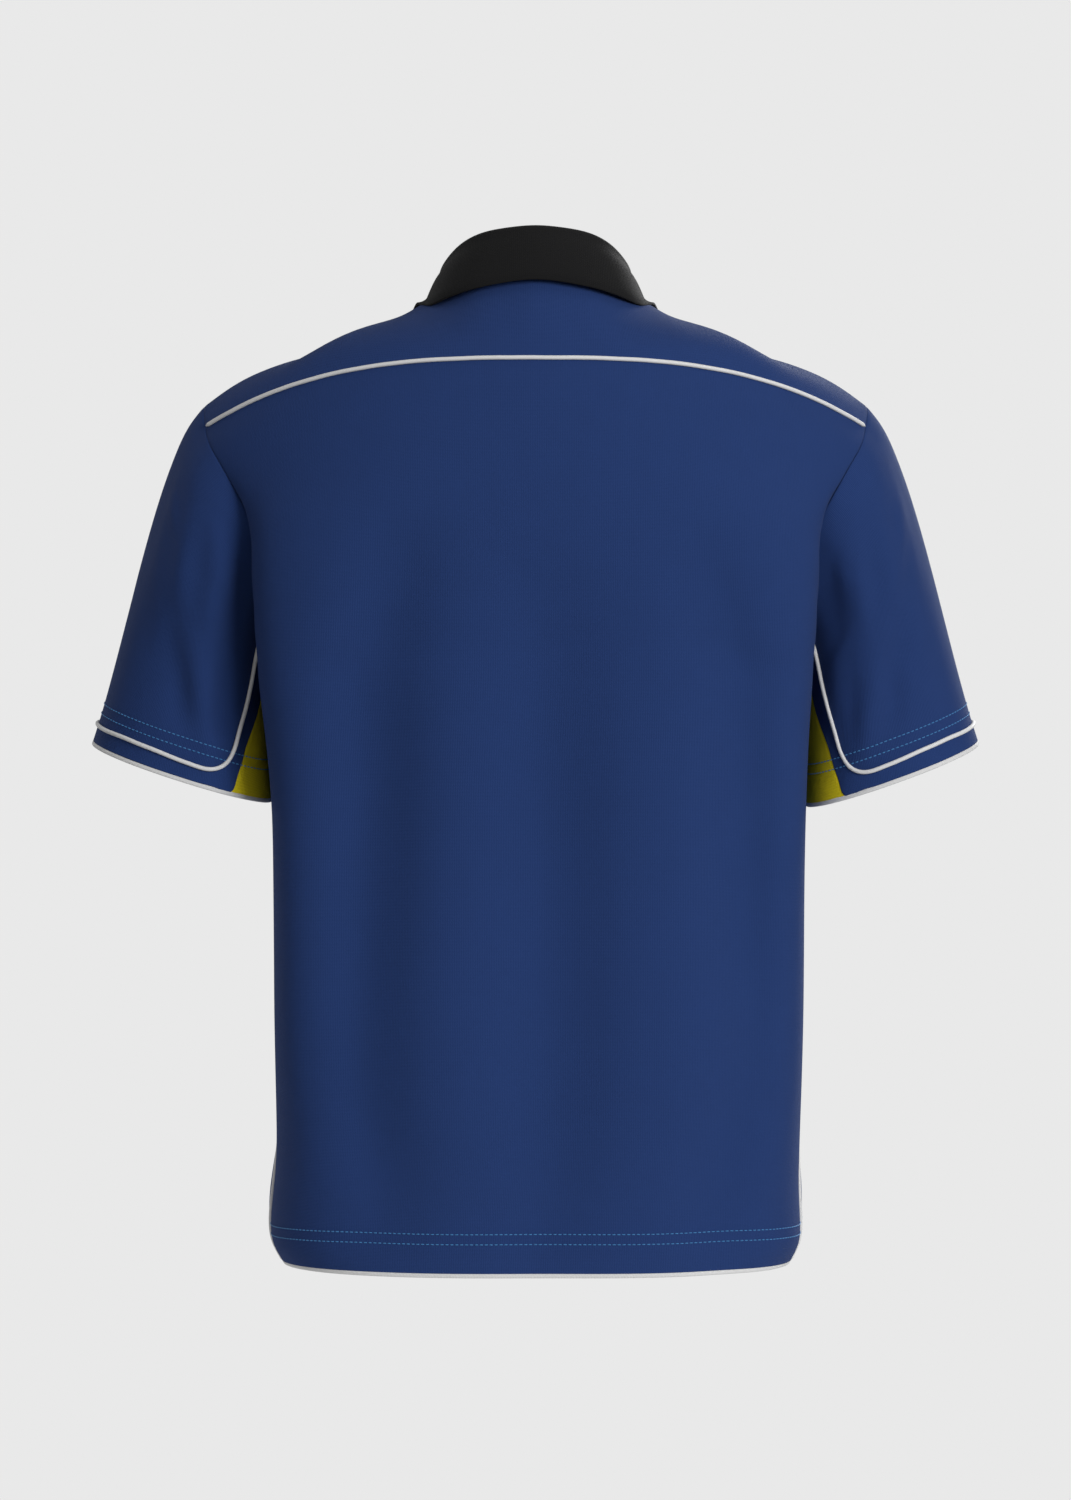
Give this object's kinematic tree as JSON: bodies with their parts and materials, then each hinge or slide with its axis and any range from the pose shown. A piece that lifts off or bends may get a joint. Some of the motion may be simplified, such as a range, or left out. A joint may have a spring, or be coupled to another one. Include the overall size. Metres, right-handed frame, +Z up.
{
  "type": "polo shirt",
  "caption": "Short-sleeved knit polo shirt, filled out as worn and hollow, with a rolled collar, piped back yoke, sleeve gussets and edged hems.",
  "frame": {"origin": "middle of the neck, level with the shoulders beside the collar", "axes": "+Z up, the shirt's front faces -Y, the wearer's left is +X"},
  "size_m": [0.6718, 0.2749, 0.7782],
  "materials": {
    "blue_knit": "fine matt interlock knit",
    "black_rib": "matt fine rib knit",
    "white_piping": "smooth woven piping and edging",
    "yellow_knit": "fine matt interlock knit",
    "button": "satin resin"
  },
  "bodies": {
    "root": {"back_body": "blue_knit", "back_yoke": "blue_knit", "front_body": "blue_knit", "front_placket": "blue_knit", "collar": "black_rib", "button_1": "button", "button_2": "button", "button_3": "button", "hem_edging": "white_piping", "yoke_piping": "white_piping", "sleeve_top_left": "blue_knit", "sleeve_band_left": "blue_knit", "sleeve_gusset_left": "yellow_knit", "sleeve_piping_left": "white_piping", "cuff_edging_left": "white_piping", "side_piping_left": "white_piping", "sleeve_top_right": "blue_knit", "sleeve_band_right": "blue_knit", "sleeve_gusset_right": "yellow_knit", "sleeve_piping_right": "white_piping", "cuff_edging_right": "white_piping", "side_piping_right": "white_piping"}
  },
  "joints": []
}
